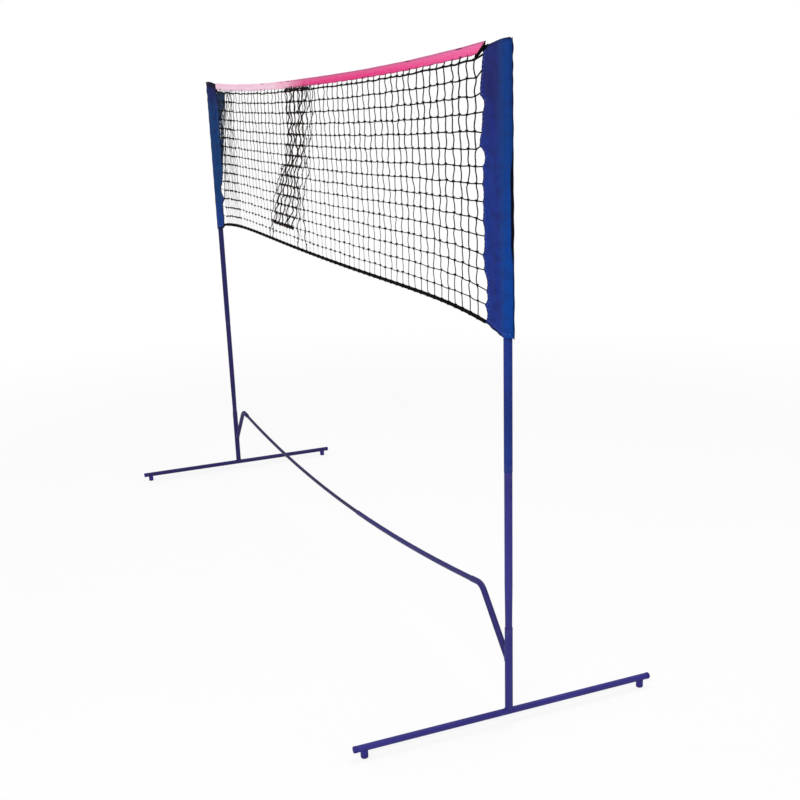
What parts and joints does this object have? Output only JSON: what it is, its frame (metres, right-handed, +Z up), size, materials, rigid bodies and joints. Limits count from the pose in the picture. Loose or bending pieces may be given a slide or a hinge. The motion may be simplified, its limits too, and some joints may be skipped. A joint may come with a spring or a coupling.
{
  "type": "free-standing badminton net",
  "caption": "Portable free-standing badminton net: netting with a top tape hung by cloth sleeves on two sectional tube posts, with foot bars and a bowed crossbar.",
  "frame": {"origin": "on the floor, midway between the two posts", "axes": "+X along the net towards the right post, +Y square to the net, +Z up"},
  "size_m": [2.4442, 0.81, 1.55],
  "materials": {
    "frame_paint": "violet-blue powder coat, semi-gloss",
    "post_paint": "navy powder coat, semi-gloss",
    "plastic": "violet-blue moulded plastic",
    "sleeve_cloth": "royal blue woven polyester",
    "tape_webbing": "pink woven webbing",
    "net_twine": "black knotted twine",
    "cord": "black braided cord and binding"
  },
  "bodies": {
    "base_frame": {"left_base_bar": "frame_paint", "right_base_bar": "frame_paint", "left_bar_cap_front": "plastic", "left_bar_cap_back": "plastic", "right_bar_cap_front": "plastic", "right_bar_cap_back": "plastic", "left_foot_front": "plastic", "left_foot_back": "plastic", "right_foot_front": "plastic", "right_foot_back": "plastic", "left_upright_socket": "frame_paint", "right_upright_socket": "frame_paint", "left_elbow": "frame_paint", "right_elbow": "frame_paint", "left_crossbar_tube": "frame_paint", "right_crossbar_tube": "frame_paint", "crossbar_middle_tube": "frame_paint"},
    "left_lower_post": {"left_lower_post": "frame_paint"},
    "right_lower_post": {"right_lower_post": "frame_paint"},
    "left_upper_post": {"left_upper_post": "post_paint", "left_post_cap": "plastic"},
    "right_upper_post": {"right_upper_post": "post_paint", "right_post_cap": "plastic"},
    "net": {"netting": "net_twine", "top_tape": "tape_webbing", "head_cord": "cord", "bottom_cord": "cord", "left_sleeve": "sleeve_cloth", "right_sleeve": "sleeve_cloth", "left_sleeve_binding": "cord", "right_sleeve_binding": "cord"}
  },
  "joints": [
    {"name": "left_lower_post_lift", "type": "slide", "parent": "base_frame", "child": "left_lower_post", "axis": [0, 0, 1], "range_m": [0, 0.075]},
    {"name": "right_lower_post_lift", "type": "slide", "parent": "base_frame", "child": "right_lower_post", "axis": [0, 0, 1], "range_m": [0, 0.075]},
    {"name": "left_upper_post_lift", "type": "slide", "parent": "left_lower_post", "child": "left_upper_post", "axis": [0, 0, 1], "range_m": [0, 0.082]},
    {"name": "right_upper_post_lift", "type": "slide", "parent": "right_lower_post", "child": "right_upper_post", "axis": [0, 0, 1], "range_m": [0, 0.082]},
    {"name": "net_lift", "type": "slide", "parent": "left_upper_post", "child": "net", "axis": [0, 0, 1], "range_m": [0, 0.63]}
  ],
  "couplings": [
    {"joint": "right_lower_post_lift", "follows": "left_lower_post_lift", "ratio": 1},
    {"joint": "right_upper_post_lift", "follows": "left_upper_post_lift", "ratio": 1}
  ]
}
